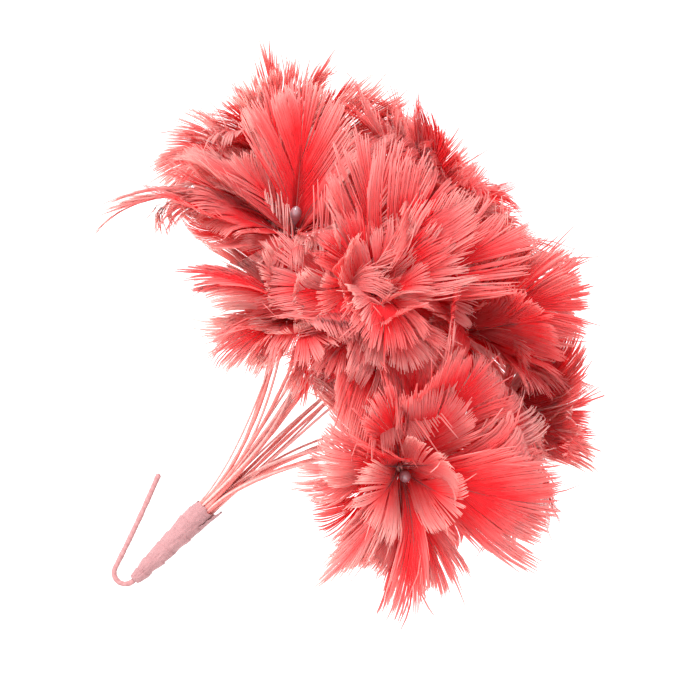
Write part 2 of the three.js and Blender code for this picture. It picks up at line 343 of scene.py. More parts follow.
def foot_rows(vane):
    """The bare quill that stands in the wound neck."""
    u = shaft_points[:, 2] + 0.5
    centre, _, across, _ = vane.frame(np.zeros(1))
    outward = np.cross(across[0], UPRIGHT)
    points = centre[0] - UPRIGHT * (FOOT_DEPTH * (1 - u))[:, None]
    points += across[0] * (FOOT_RADIUS * shaft_points[:, 0])[:, None]
    points = points - outward * (FOOT_RADIUS * shaft_points[:, 1])[:, None]
    return points, shaft_faces, np.stack([0 * u, 0 * u], -1), 0 * u


def fluff_rows(rng, count, low, high, lean):
    """Loose single barbs that stand out round the top of the neck."""
    U = (barb_points[:, 2] + 0.5)[None]
    around = rng.uniform(0, 2 * np.pi, (count, 1))
    first = np.radians(rng.uniform(*lean, (count, 1)))
    bend = np.radians(rng.uniform(-30, 80, (count, 1)))
    long = rng.uniform(low, high, (count, 1))
    a = first + bend * U / 2
    out = 1.2 + long * U * np.sin(a)
    up = SPREAD + long * U * np.cos(a)
    sway = rng.normal(size=(count, 1)) * 2.5 * U ** 2
    radial = np.stack([np.cos(around), np.sin(around), 0 * around], -1)
    sideways = np.stack([-np.sin(around), np.cos(around), 0 * around], -1)
    middle = radial * out[..., None] + sideways * sway[..., None] + UPRIGHT * up[..., None]
    girth = 0.16 * (1 - 0.8 * U)
    points = middle + sideways * (girth * barb_points[:, 0])[..., None]
    heading = radial * np.sin(first)[..., None] + UPRIGHT * np.cos(first)[..., None]
    tilt = np.cross(sideways + 0 * middle, heading)
    points += tilt * (girth * barb_points[:, 1])[..., None]
    faces = barb_faces[None] + (np.arange(count) * len(barb_points))[:, None, None]
    faces = faces[..., ::-1]
    uv = np.stack([np.broadcast_to(U, out.shape), 0 * out], -1)
    tone = np.repeat(np.clip(0.5 + 0.2 * rng.normal(size=count), 0, 1), len(barb_points))
    return points.reshape(-1, 3), faces.reshape(-1, 3), uv.reshape(-1, 2), tone


test = Vane(0, 30, 80, 40, 24)
print("barbs on a test vane:", len(barb_rows(test, np.random.default_rng(1))[1]), "faces")

# %% [markdown]
# ### Making the meshes
# The laid barbs and shafts become ordinary triangle meshes. Each point keeps two numbers for the
# dye: how far out on its barb it is, and a tone that differs a little from barb to barb.

# %% Mesh maker
def make_piece(name, rows, finishes):
    """One object from (points in mm, triangles, uv, tone, finish number) rows."""
    points, faces, uvs, tones, marks, base = [], [], [], [], [], 0
    for p, f, uv, tone, mark in rows:
        points.append(p)
        faces.append(f + base)
        uvs.append(uv)
        tones.append(tone)
        marks.append(np.full(len(f), mark))
        base += len(p)
    points, faces, uvs = np.concatenate(points) * MM, np.concatenate(faces), np.concatenate(uvs)
    mesh = bpy.data.meshes.new(name)
    mesh.vertices.add(len(points))
    mesh.vertices.foreach_set("co", points.astype(np.float32).ravel())
    mesh.loops.add(faces.size)
    mesh.loops.foreach_set("vertex_index", faces.astype(np.int32).ravel())
    mesh.polygons.add(len(faces))
    mesh.polygons.foreach_set("loop_start", np.arange(0, faces.size, 3, dtype=np.int32))
    for finish in finishes:
        mesh.materials.append(finish)
    mesh.polygons.foreach_set("material_index", np.concatenate(marks).astype(np.int32))
    mesh.update(calc_edges=True)
    layer = mesh.uv_layers.new(name="lay")
    layer.data.foreach_set("uv", uvs[faces.ravel()].astype(np.float32).ravel())
    tone = mesh.attributes.new("tone", "FLOAT", "POINT")
    tone.data.foreach_set("value", np.concatenate(tones).astype(np.float32))
    piece = bpy.data.objects.new(name, mesh)
    scene.collection.objects.link(piece)
    return piece


print("mesh maker ready")

# %% [markdown]
# ## Finishes
# Dyed feather is thin, so light both bounces off it and comes through it. Each feather mixes a
# Principled surface with a Translucent one of the same dye, deep red at the shaft and paler at
# the rim. The wires and necks are wound with thread, and the bound stem with crinkled tape.

# %% Node helpers
def effect_group(name, outputs, inputs=()):
    """A node group with the sockets given, and its input and output nodes."""
    group = bpy.data.node_groups.new(name, "ShaderNodeTree")
    for label, kind, value in inputs:
        made = group.interface.new_socket(name=label, in_out="INPUT", socket_type=kind)
        if value is not None:
            made.default_value = value
    for label, kind in outputs:
        group.interface.new_socket(name=label, in_out="OUTPUT", socket_type=kind)
    return group, group.nodes.new("NodeGroupInput"), group.nodes.new("NodeGroupOutput")


def new_finish(name):
    """A material, its nodes and its Principled surface."""
    finish = bpy.data.materials.new(name)
    finish.use_nodes = True
    return finish, finish.node_tree, finish.node_tree.nodes["Principled BSDF"]


def math_node(tree, operation, *numbers):
    """A Math node whose second and third inputs are the numbers given."""
    node = tree.nodes.new("ShaderNodeMath")
    node.operation = operation
    for place, number in enumerate(numbers, 1):
        node.inputs[place].default_value = number
    return node


def noise_node(tree, **settings):
    node = tree.nodes.new("ShaderNodeTexNoise")
    for label, value in settings.items():
        node.inputs[label].default_value = value
    return node


def link(tree, *pairs):
    for source, target in pairs:
        tree.links.new(source, target)


def lay_node(tree):
    """The UV map that make_piece writes."""
    node = tree.nodes.new("ShaderNodeUVMap")
    node.uv_map = "lay"
    return node


def mix_node(tree):
    node = tree.nodes.new("ShaderNodeMix")
    node.data_type = "RGBA"
    node.clamp_factor = True
    return node


print("node helpers ready")

# %% Uneven dye
dye, inside, outside = effect_group(
    "uneven_dye", [("Color", "NodeSocketColor")],
    [("Deep", "NodeSocketColor", None), ("Pale", "NodeSocketColor", None)])
lay = lay_node(dye)
split = dye.nodes.new("ShaderNodeSeparateXYZ")
tone = dye.nodes.new("ShaderNodeAttribute")
tone.attribute_name = "tone"
coord = dye.nodes.new("ShaderNodeTexCoord")
cloud = noise_node(dye, Scale=60, Detail=3)
rim = math_node(dye, "POWER", 1.5)
add_rim = math_node(dye, "MULTIPLY_ADD", 1.0)
streak = math_node(dye, "MULTIPLY_ADD", 0.8)
blotch = math_node(dye, "MULTIPLY_ADD", 0.55, -0.76)
mix = mix_node(dye)
link(dye,
     (lay.outputs["UV"], split.inputs[0]),
     (split.outputs["X"], rim.inputs[0]),
     (coord.outputs["Object"], cloud.inputs["Vector"]),
     (cloud.outputs["Fac"], blotch.inputs[0]),
     (tone.outputs["Fac"], streak.inputs[0]),
     (blotch.outputs[0], streak.inputs[2]),
     (rim.outputs[0], add_rim.inputs[0]),
     (streak.outputs[0], add_rim.inputs[2]),
     (add_rim.outputs[0], mix.inputs["Factor"]),
     (inside.outputs["Deep"], mix.inputs["A"]),
     (inside.outputs["Pale"], mix.inputs["B"]),
     (mix.outputs["Result"], outside.inputs["Color"]))
print("effect:", dye.name)


# %% Feather finish
def dyed(tree, deep, pale):
    node = tree.nodes.new("ShaderNodeGroup")
    node.node_tree = dye
    node.inputs["Deep"].default_value = deep
    node.inputs["Pale"].default_value = pale
    return node.outputs["Color"]


def feather_finish(name, deep, pale, deep_glow, pale_glow, through):
    finish, tree, surface = new_finish(name)
    surface.inputs["Roughness"].default_value = 0.62
    surface.inputs["Sheen Weight"].default_value = 0.25
    surface.inputs["Sheen Roughness"].default_value = 0.4
    glow = tree.nodes.new("ShaderNodeBsdfTranslucent")
    both = tree.nodes.new("ShaderNodeMixShader")
    both.inputs["Fac"].default_value = through
    link(tree,
         (dyed(tree, deep, pale), surface.inputs["Base Color"]),
         (dyed(tree, deep_glow, pale_glow), glow.inputs["Color"]),
         (surface.outputs["BSDF"], both.inputs[1]),
         (glow.outputs["BSDF"], both.inputs[2]),
         (both.outputs["Shader"], tree.nodes["Material Output"].inputs["Surface"]))
    return finish


vane_finish = feather_finish("dyed_vane", (0.92, 0.020, 0.035, 1), (0.96, 0.60, 0.58, 1),
                             (1.0, 0.010, 0.018, 1), (1.0, 0.62, 0.57, 1), 0.72)
shaft_finish = feather_finish("feather_shaft", (0.30, 0.02, 0.02, 1), (0.48, 0.06, 0.06, 1),
                              (0.5, 0.02, 0.02, 1), (0.6, 0.08, 0.08, 1), 0.15)
print("feather finishes ready")


# %% [markdown]
# ### Thread, tape, paper and pearl
# The wires and necks are wound with fine thread, so their finish is a row of close ridges across
# the length. The stem tape is a crepe paper with long fine wrinkles. On thread, tape and paper the
# colour is painted paler on the crests and darker in the grooves, as painted light and shade.
# The hook's wire is wound with a narrow paper strip, and the pearls are dipped in grey lacquer.

# %% Thread winding
winding, w_in, w_out = effect_group(
    "thread_winding", [("Height", "NodeSocketFloat"), ("Wear", "NodeSocketFloat")],
    [("Turns", "NodeSocketFloat", 2.6), ("Slant", "NodeSocketFloat", 1.0)])
w_uv = lay_node(winding)
w_split = winding.nodes.new("ShaderNodeSeparateXYZ")
w_slant = math_node(winding, "MULTIPLY")
w_phase = math_node(winding, "MULTIPLY_ADD")
w_cycle = math_node(winding, "PINGPONG", 0.5)
w_round = math_node(winding, "POWER", 0.6)
w_noise = noise_node(winding, Scale=900)
w_coord = winding.nodes.new("ShaderNodeTexCoord")
link(winding,
     (w_uv.outputs["UV"], w_split.inputs[0]),
     (w_split.outputs["X"], w_slant.inputs[0]),
     (w_in.outputs["Slant"], w_slant.inputs[1]),
     (w_split.outputs["Y"], w_phase.inputs[0]),
     (w_in.outputs["Turns"], w_phase.inputs[1]),
     (w_slant.outputs[0], w_phase.inputs[2]),
     (w_phase.outputs[0], w_cycle.inputs[0]),
     (w_cycle.outputs[0], w_round.inputs[0]),
     (w_coord.outputs["Object"], w_noise.inputs["Vector"]),
     (w_round.outputs[0], w_out.inputs["Height"]),
     (w_noise.outputs["Fac"], w_out.inputs["Wear"]))
print("effect:", winding.name)

# %% Crepe wrinkles
crepe, _, c_out = effect_group(
    "crepe_wrinkles", [("Height", "NodeSocketFloat"), ("Wear", "NodeSocketFloat")])
c_uv = lay_node(crepe)
c_map = crepe.nodes.new("ShaderNodeMapping")
c_map.inputs["Scale"].default_value = (9.0, 0.55, 1.0)
c_map.inputs["Rotation"].default_value = (0, 0, 0.5)
c_fine = noise_node(crepe, Scale=2.2, Detail=5)
c_big = noise_node(crepe, Scale=260, Detail=2)
c_coord = crepe.nodes.new("ShaderNodeTexCoord")
link(crepe,
     (c_uv.outputs["UV"], c_map.inputs["Vector"]),
     (c_map.outputs["Vector"], c_fine.inputs["Vector"]),
     (c_coord.outputs["Object"], c_big.inputs["Vector"]),
     (c_fine.outputs["Fac"], c_out.inputs["Height"]),
     (c_big.outputs["Fac"], c_out.inputs["Wear"]))
print("effect:", crepe.name)


# %% Finishes from the effects
def fibre_finish(name, effect, deep, pale, rough, depth, settings=()):
    """A dyed fibre: the effect's height paints light on the crests and shade in the grooves, and
    its wear spreads the dye.
    """
    finish, tree, surface = new_finish(name)
    surface.inputs["Sheen Weight"].default_value = 0.2
    look = tree.nodes.new("ShaderNodeGroup")
    look.node_tree = effect
    for label, value in settings:
        look.inputs[label].default_value = value
    # Painted light and shade: the colour runs from the deep dye in the grooves to the pale dye on
    # the crests, plus the wear's patchy spread.
    both = math_node(tree, "MULTIPLY_ADD", 0.9)
    tree.links.new(look.outputs["Height"], both.inputs[0])
    spread = math_node(tree, "MULTIPLY_ADD", 1.1, -0.45)
    link(tree,
         (look.outputs["Wear"], spread.inputs[0]),
         (spread.outputs[0], both.inputs[2]))
    painted_crest_shade_and_wear = mix_node(tree)
    painted_crest_shade_and_wear.inputs["A"].default_value = deep
    painted_crest_shade_and_wear.inputs["B"].default_value = pale
    link(tree,
         (both.outputs[0], painted_crest_shade_and_wear.inputs["Factor"]),
         (painted_crest_shade_and_wear.outputs["Result"], surface.inputs["Base Color"]))
    dull = tree.nodes.new("ShaderNodeMapRange")
    dull.inputs["To Min"].default_value = rough + 0.1
    dull.inputs["To Max"].default_value = rough - 0.1
    link(tree,
         (look.outputs["Height"], dull.inputs["Value"]),
         (dull.outputs["Result"], surface.inputs["Roughness"]))
    bump = tree.nodes.new("ShaderNodeBump")
    bump.inputs["Strength"].default_value = 0.8
    bump.inputs["Distance"].default_value = depth
    link(tree,
         (look.outputs["Height"], bump.inputs["Height"]),
         (bump.outputs["Normal"], surface.inputs["Normal"]))
    return finish


# Each fibre finish paints its grooves in the deep colour and its crests in the pale one, as painted
# shade and light.
thread_finish = fibre_finish(
    "wound_thread", winding, (0.55, 0.085, 0.075, 1), (0.80, 0.27, 0.24, 1),
    0.7, 0.0002, [("Turns", 1.6)])
strand_finish = fibre_finish(
    "fine_strand", winding, (0.60, 0.18, 0.17, 1), (0.84, 0.46, 0.42, 1),
    0.65, 0.0001, [("Turns", 2.4), ("Slant", 2.0)])
tape_finish = fibre_finish(
    "crepe_tape", crepe, (0.25, 0.110, 0.116, 1), (0.36, 0.182, 0.186, 1), 0.9, 0.0003)
paper_finish = fibre_finish(
    "paper_winding", winding, (0.30, 0.125, 0.127, 1), (0.39, 0.182, 0.184, 1),
    0.8, 0.00006, [("Turns", 0.42)])
stalk_finish = fibre_finish(
    "stamen_stalk", winding, (0.12, 0.02, 0.02, 1), (0.22, 0.05, 0.05, 1),
    0.6, 0.0001, [("Turns", 3.0)])
print("fibre finishes ready")

# %% Pearl
pearl_finish, pearl_tree, pearl = new_finish("grey_pearl")
pearl.inputs["Coat Weight"].default_value = 0.8
pearl.inputs["Coat Roughness"].default_value = 0.08
pearl.inputs["Roughness"].default_value = 0.28
pearl.inputs["Metallic"].default_value = 0.25
swirl = noise_node(pearl_tree, Scale=240, Distortion=1.2)
pearl_coord = pearl_tree.nodes.new("ShaderNodeTexCoord")
lustre = mix_node(pearl_tree)
lustre.inputs["A"].default_value = (0.13, 0.05, 0.06, 1)
lustre.inputs["B"].default_value = (0.34, 0.19, 0.21, 1)
link(pearl_tree,
     (pearl_coord.outputs["Object"], swirl.inputs["Vector"]),
     (swirl.outputs["Fac"], lustre.inputs["Factor"]),
     (lustre.outputs["Result"], pearl.inputs["Base Color"]))
print("pearl finish:", pearl_finish.name)

# %% [markdown]
# ## The flowers
# Each flower has its own place and direction. Its broad main feathers stand in the wound neck,
# and long outer ones, back ones, short curled ones, straggling wisps and loose fluff fill the
# mass round them. Every feather could be placed by hand, but only the main and outer ones are
# listed one by one; the rest are spread round the neck by fixed random draws, which is quicker and
# as uneven.

# %% Where the flowers are
# Places are in millimetres. Each feather is: around, lean at its foot, lean at its tip, length
# and width. "inner" counts the short curled feathers, and "open" leans the front ones outwards.
FLOWERS = [
    dict(inner=6, open=20, heart=(50, 4, 127), facing=(0.75, 0.05, 0.65), main=[
        (15, 30, 60, 46, 28), (135, 35, 85, 42, 30), (250, 35, 80, 46, 30)], outer=[
        (61, 32, 37, 48, 36), (35, 36, 71, 56, 38), (336, 17, 22, 48, 36), (147, 15, 85, 48, 36),
        (235, 67, 137, 56, 38), (176, 53, 88, 48, 36), (305, 65, 70, 56, 38)]),
    dict(inner=6, open=20, heart=(4, 34, 143), facing=(0.05, 0.72, 0.69), main=[
        (20, 30, 70, 44, 30), (125, 30, 90, 42, 30), (245, 30, 90, 42, 30)], outer=[
        (338, 47, 52, 56, 38), (76, 68, 73, 56, 38), (19, 15, 85, 56, 38), (120, 51, 121, 56, 38),
        (183, 66, 136, 56, 38), (43, 52, 57, 56, 38), (295, 70, 75, 56, 38)]),
    dict(inner=6, open=20, heart=(-20, 0, 164), facing=(-0.12, -0.15, 0.97), main=[
        (110, 30, 75, 42, 30), (350, 30, 70, 40, 30), (235, 30, 75, 40, 30)], outer=[
        (224, 60, 130, 56, 38), (205, 55, 125, 54, 34),
        (194, 28, 63, 56, 38), (39, 14, 84, 48, 36), (96, 48, 53, 48, 36), (226, 15, 50, 40, 32),
        (340, 66, 71, 56, 38), (165, 28, 33, 40, 32), (121, 48, 83, 56, 38)]),
    dict(inner=5, open=30, heart=(-66, 16, 142), facing=(-0.7, 0.15, 0.7), main=[
        (0, 25, 55, 46, 30), (120, 30, 80, 40, 30), (240, 30, 80, 40, 30)], outer=[
        (278, 48, 53, 56, 38), (-6, 47, 82, 56, 38), (255, 69, 74, 48, 36), (155, 50, 120, 56, 38),
        (219, 18, 53, 40, 32), (185, 47, 117, 48, 36), (60, 13, 48, 48, 36)]),
    dict(inner=3, open=45, heart=(-46, -28, 129), facing=(-0.55, -0.45, 0.7), main=[
        (140, 40, 85, 52, 36), (70, 30, 60, 48, 30), (350, 20, 35, 40, 26),
        (275, 40, 105, 28, 20)], outer=[
        (61, 15, 20, 56, 38), (140, 66, 101, 56, 38), (28, 28, 63, 56, 38), (114, 69, 74, 56, 38),
        (178, 70, 105, 48, 36), (4, 52, 57, 56, 38), (162, 70, 75, 56, 38)]),
    dict(inner=3, open=20, heart=(-24, -35, 112), facing=(-0.3, -0.8, 0.4), main=[
        (185, 45, 120, 34, 22), (255, 40, 105, 28, 20), (115, 40, 100, 28, 20)], outer=[
        (7, 46, 51, 56, 38), (84, 70, 75, 56, 38), (53, 29, 34, 56, 38), (326, 50, 120, 48, 36),
        (221, 33, 68, 40, 32), (135, 13, 48, 56, 38), (275, 18, 53, 48, 36)]),
    dict(inner=6, open=0, heart=(-11, -42, 132), facing=(-0.05, -0.9, 0.42), main=[
        (232, 40, 110, 40, 32), (85, 35, 80, 31, 24), (340, 35, 60, 38, 28)], outer=[
        (225, -8, 105, 46, 32), (205, -4, 85, 40, 26),
        (45, 65, 70, 56, 38), (333, 65, 70, 56, 38), (255, 52, 122, 56, 38), (119, 69, 104, 56, 38),
        (225, 69, 104, 56, 38), (152, 53, 123, 40, 32), (20, 49, 84, 56, 38)]),
    dict(inner=4, open=0, heart=(38, -42, 98), facing=(0.3, -0.93, -0.05), main=[
        (100, 40, 95, 36, 32), (305, 40, 80, 60, 36), (246, 40, 85, 48, 20),
        (187, 40, 88, 42, 18)], outer=[
        (14, 69, 74, 56, 38), (67, 66, 136, 56, 38), (344, 72, 107, 56, 38), (319, 48, 83, 56, 38),
        (197, 12, 17, 40, 32), (303, 65, 100, 56, 38), (39, 50, 120, 56, 38)]),
    dict(inner=6, open=25, heart=(18, -16, 147), facing=(0.4, -0.3, 0.86), main=[
        (195, 30, 75, 40, 30), (310, 30, 75, 42, 27), (60, 30, 60, 38, 28)], outer=[
        (92, 60, 130, 50, 36), (112, 50, 118, 46, 32),
        (119, 12, 17, 56, 38), (262, 53, 58, 56, 38), (313, 11, 81, 56, 38), (145, 29, 34, 56, 38),
        (234, 32, 67, 56, 38), (199, 69, 74, 56, 38), (288, 46, 51, 48, 36)]),
]


def flower_frame(flower):
    axis = Vector(flower["facing"]).normalized()
    upper = (Vector((0, 0, 1)) - axis * axis.z).normalized()
    side = axis.cross(upper)
    neck = Vector(flower["heart"]) - axis * SPREAD
    return np.array([upper, side, axis]), np.array(neck)


def to_spray(points, flower):
    basis, neck = flower_frame(flower)
    return points @ basis + neck


def placed(rows, flower, mark):
    """What was laid in a flower's own frame, moved to its place and given its finish number."""
    p, f, uv, tone = rows
    return to_spray(p, flower), f, uv, tone, mark


print("flowers:", len(FLOWERS))

# %% Keeping feathers in bounds
# Feathers are kept inside the imported model's box, widened by a share of each side and a few mm.
SHARE_PAST, FIXED_PAST = 0.028, 0.009
box = list(zip(cad_low, cad_high))
box_low = np.array([lo - SHARE_PAST * (hi - lo) - FIXED_PAST for lo, hi in box]) / MM
box_high = np.array([hi + SHARE_PAST * (hi - lo) + FIXED_PAST for lo, hi in box]) / MM
SHOWN_PEARLS = (5, 8)
PEARL_RISE = 8
CLEAR_ROUND_PEARL = 4.5
# How much paler (above 0) or deeper (below 0) each flower took the dye, flower 1 first.
TINTS = (-0.08, -0.12, -0.3, -0.05, 0.06, 0.0, -0.14, -0.06, -0.26)


def pearl_of(number):
    flower = FLOWERS[number - 1]
    axis = Vector(flower["facing"]).normalized()
    return np.array(Vector(flower["heart"]) + axis * PEARL_RISE)


def in_front_of_pearl(points):
    """True where a feather would stand between the spray's front and one of the shown pearls."""
    for number in SHOWN_PEARLS:
        pearl = pearl_of(number)
        apart = np.hypot(points[:, 0] - pearl[0], points[:, 2] - pearl[2])
        near = apart < CLEAR_ROUND_PEARL
        if (near & (points[:, 1] < pearl[1] - 1.5)).any():
            return True
    return False


def feather_rows(vane, rng, flower, foot=False, **how):
    """One feather, shortened until it keeps to the spray's outline; none if it hides a pearl."""
    shift = TINTS[FLOWERS.index(flower)]
    for _ in range(12):
        p, f, uv, tone = barb_rows(vane, rng, **how)
        p = to_spray(p, flower)
        if (p > box_low).all() and (p < box_high).all():
            break
        vane.length *= 0.95
    if not foot and in_front_of_pearl(p):
        return []
    rows = [(p, f, uv, np.clip(tone + shift, 0, 1), 0)]
    rows.append(placed(shaft_rows(vane), flower, 1))
    if foot:
        rows.append(placed(foot_rows(vane), flower, 1))
    return rows


print("feathers keep inside", box_low.round(1), box_high.round(1))

# %% Wisps and plumes
# Long thin feathers whose few barbs straggle out of the spray: around, leans, length and width.
WISPS = {
    1: [(280, 20, 50, 62, 9), (70, 20, 60, 56, 12), (100, 20, 40, 56, 10), (170, 20, 90, 52, 12),
        (190, 45, 115, 52, 10)],
    2: [(40, 45, 85, 62, 10), (300, 40, 80, 54, 12)],
    3: [(150, 45, 75, 58, 10), (90, 20, 80, 54, 12), (260, 20, 70, 54, 10), (0, 45, 75, 54, 9)],
    4: [(220, 70, 150, 60, 10), (260, 20, 60, 54, 12), (300, 20, 60, 54, 10), (30, 20, 80, 60, 9)],
    5: [(170, 40, 120, 64, 10), (100, 20, 50, 64, 10)],
    6: [(240, 70, 120, 42, 10), (190, 45, 85, 44, 12), (150, 20, 80, 56, 9)],
    7: [(200, 45, 125, 50, 11), (150, 70, 140, 50, 10)],
    8: [(300, 40, 110, 64, 10), (240, 30, 90, 60, 12), (240, 60, 130, 52, 10),
        (190, 30, 110, 54, 12), (215, 50, 80, 54, 9)],
    9: [(300, 20, 80, 60, 11), (60, 30, 60, 54, 10)],
}
# The two longest plumes, which droop out of one side of the spray.
PLUMES = {5: [(135, 60, 150, 88, 5), (145, 50, 130, 74, 4)]}


def opening(number, around):
    """How much further a feather on the spray's front side leans out, in degrees."""
    basis, _ = flower_frame(FLOWERS[number - 1])
    front = math.degrees(math.atan2(-basis[1][1], -basis[0][1]))
    apart = abs((around - front + 180) % 360 - 180)
    return FLOWERS[number - 1]["open"] * max(0.0, 1 - apart / 75)


print("wisps:", sum(len(group) for group in WISPS.values()))

# %% Main and outer feathers
def make_main_feathers(number, flower, rng):
    """The feathers whose quills stand in the neck; each is its own piece."""
    made = 0
    for k, (around, first, last, length, width) in enumerate(flower["main"], 1):
        vane = Vane(around, first, last, length, width * 1.1, cup=rng.uniform(0.1, 0.35),
                    twist=rng.uniform(-14, 14), sweep=rng.uniform(-5, 5), curl=rng.uniform(0, 50))
        piece = make_piece(f"feather_{number}_{k}", feather_rows(vane, rng, flower, foot=True),
                           [vane_finish, shaft_finish])
        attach(piece, f"head_{number}")
        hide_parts(f"flower_{number}_feather_{k}")
        made += len(piece.data.polygons)
    return made


HOOKED_SHARE = 0.35


def outer_rows(flower, rng):
    """The long feathers that give the mass its outline; about a third curl back at their tips."""
    rows = []
    for around, first, last, length, width in flower["outer"]:
        if rng.random() < HOOKED_SHARE:
            hooked = rng.uniform(70, 150) * rng.choice([-1, 1, 1])
        else:
            hooked = rng.uniform(-20, 50)
        vane = Vane(around, first, last, length * rng.uniform(0.9, 1.05),
                    width * rng.uniform(0.85, 1.1), cup=rng.uniform(-0.05, 0.4),
                    twist=rng.uniform(-30, 30), sweep=rng.uniform(-9, 9), curl=hooked)
        rows += feather_rows(vane, rng, flower)
    return rows


print("main feathers:", sum(len(flower["main"]) for flower in FLOWERS))

# %% Rings of smaller feathers
# Each ring: how far a feather strays round, its lean at the foot, and the ranges from which its
# further lean, length, width, cup, twist, sweep and curl are drawn.
RINGS = {
    "back": (22, (40, 65), [
        (10, 50), (36, 42), (26, 34), (-0.05, 0.4), (-35, 35), (-8, 8), (0, 90)]),
    "inner": (25, (12, 32), [
        (10, 55), (28, 38), (22, 32), (0.0, 0.5), (-45, 45), (-8, 8), (-80, 110)]),
    "collar": (20, (45, 75), [
        (0, 30), (18, 24), (18, 24), (0.1, 0.4), (-20, 20), None, (0, 40)]),
}
HEART_RANGES = [(50, 85), (15, 20), (13, 18), (0.1, 0.5), (-35, 35), None, None]


def drawn_vane(rng, around, first, ranges):
    values = [rng.uniform(*pair) if pair else 0 for pair in ranges]
    return Vane(around, first, first + values[0], *values[1:])


def ring_rows(number, rng, kind, count, barbs, opens=True):
    """A ring of feathers round the neck; the front ones may lean further out."""
    stray, lean, ranges = RINGS[kind]
    rows = []
    for k in range(count):
        around = k * 360 / count + rng.uniform(-stray, stray)
        first = rng.uniform(*lean) + (opening(number, around) if opens else 0)
        vane = drawn_vane(rng, around, first, ranges)
        rows += feather_rows(vane, rng, FLOWERS[number - 1], count=barbs)
    return rows


print("rings:", ", ".join(RINGS))


# %% Wisps, plumes and heart
def wisp_rows(number, rng):
    """Two of each wisp, then the plumes."""
    rows = []
    for around, first, last, length, width in WISPS[number]:
        for _ in range(2):
            vane = Vane(around + rng.uniform(-12, 12), first, last + rng.uniform(-15, 15),
                        length * rng.uniform(0.85, 1.0), width, cup=0.3,
                        twist=rng.uniform(-50, 50), sweep=rng.uniform(-14, 14),
                        curl=rng.uniform(-60, 120))
            rows += feather_rows(vane, rng, FLOWERS[number - 1], count=14, fray=1.4)
    for plume in PLUMES.get(number, []):
        rows += feather_rows(Vane(*plume, cup=0.3), rng, FLOWERS[number - 1], count=14, fray=0.8)
    return rows


def heart_rows(number, rng):
    """Four short feathers folded over the heart, where no pearl is meant to show."""
    rows = []
    for k in range(0 if number in SHOWN_PEARLS else 4):
        first = rng.uniform(-38, -12)
        vane = drawn_vane(rng, k * 90 + rng.uniform(-25, 25), first, HEART_RANGES)
        rows += feather_rows(vane, rng, FLOWERS[number - 1], count=34)
    return rows


print("plumes:", sum(len(group) for group in PLUMES.values()))

# %% Feathers of each flower
FLUFF_BARBS = 140
triangles = 0
for number, flower in enumerate(FLOWERS, 1):
    rng = np.random.default_rng(100 + number)
    triangles += make_main_feathers(number, flower, rng)
    rows = outer_rows(flower, rng)
    rows += ring_rows(number, rng, "back", 6, barbs=62)
    rows += ring_rows(number, rng, "inner", flower["inner"], barbs=50)
    rows += ring_rows(number, rng, "collar", 5, barbs=34, opens=False)
    rows += wisp_rows(number, rng)
    rows += heart_rows(number, rng)
    fluff = fluff_rows(rng, FLUFF_BARBS, 6, 18, lean=(15, 120))
    rows.append(placed(fluff, flower, 0))
    piece = make_piece(f"under_feathers_{number}", rows, [vane_finish, shaft_finish])
    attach(piece, f"head_{number}")
    triangles += len(piece.data.polygons)
print("feather triangles:", triangles)

# %% [markdown]
# ## Wires and necks
# Each flower stands on a florist's wire wound with thread. Fine loose strands run up beside the
# wires from the tape's mouth. One ringed bar is modelled, then laid along each wire's own bend.
# A bevelled curve would also give the bend, but no thread ridges and no swelling.

# %% One ringed bar
def bar_pattern(sides, steps):
    """A ringed bar as shares up, angles round, shares out from its middle and triangles."""
    points, triangles = cut_bar(sides, level_cuts(steps))
    angle = np.arctan2(points[:, 1], points[:, 0])
    return points[:, 2] + 0.5, angle, np.hypot(points[:, 0], points[:, 1]), triangles


strand_bar = bar_pattern(6, 36)
wire_bar = bar_pattern(12, 64)
neck_bar = bar_pattern(28, 90)
tape_bar = bar_pattern(56, 150)
hook_bar = bar_pattern(14, 110)
print("bars:", [len(bar[0]) for bar in (strand_bar, wire_bar, neck_bar, tape_bar, hook_bar)])


# %% Laying a bar along a path
def lay_bar(bar, path, girth):
    """Points, triangles, uv and tone of a bar laid along a path; girth takes shares and angles."""
    u, angle, edge, tris = bar
    path = np.asarray(path, float)
    steps = np.linalg.norm(np.diff(path, axis=0), axis=1)
    at = np.concatenate([[0], np.cumsum(steps)])
    total = at[-1]
    fine = np.linspace(0, total, 400)
    centre = np.stack([np.interp(fine, at, path[:, k]) for k in range(3)], -1)
    ahead = np.gradient(centre, axis=0)
    ahead /= np.linalg.norm(ahead, axis=1, keepdims=True)
    first = np.cross(ahead[0], (0.31, 0.9, 0.2))
    sides = [first / np.linalg.norm(first)]
    for way in ahead[1:]:
        side = sides[-1] - way * np.dot(sides[-1], way)
        sides.append(side / np.linalg.norm(side))
    sides = np.array(sides)
    third = np.cross(ahead, sides)
    where = u * total
    pick = lambda field: np.stack([np.interp(where, fine, field[:, k]) for k in range(3)], -1)
    reach = (girth(u, angle) * edge)[:, None]
    points = pick(centre) + pick(sides) * np.cos(angle)[:, None] * reach
    points += pick(third) * np.sin(angle)[:, None] * reach
    uv = np.stack([angle / (2 * np.pi) + 0.5, where], -1)
    return points, tris, uv, 0 * u + 0.5


# %% Where each wire runs
BUNDLE_RADIUS = 2.193
STEM_START = 37.45
NECK_SINK = 5  # how deep the wire's end stands in the neck


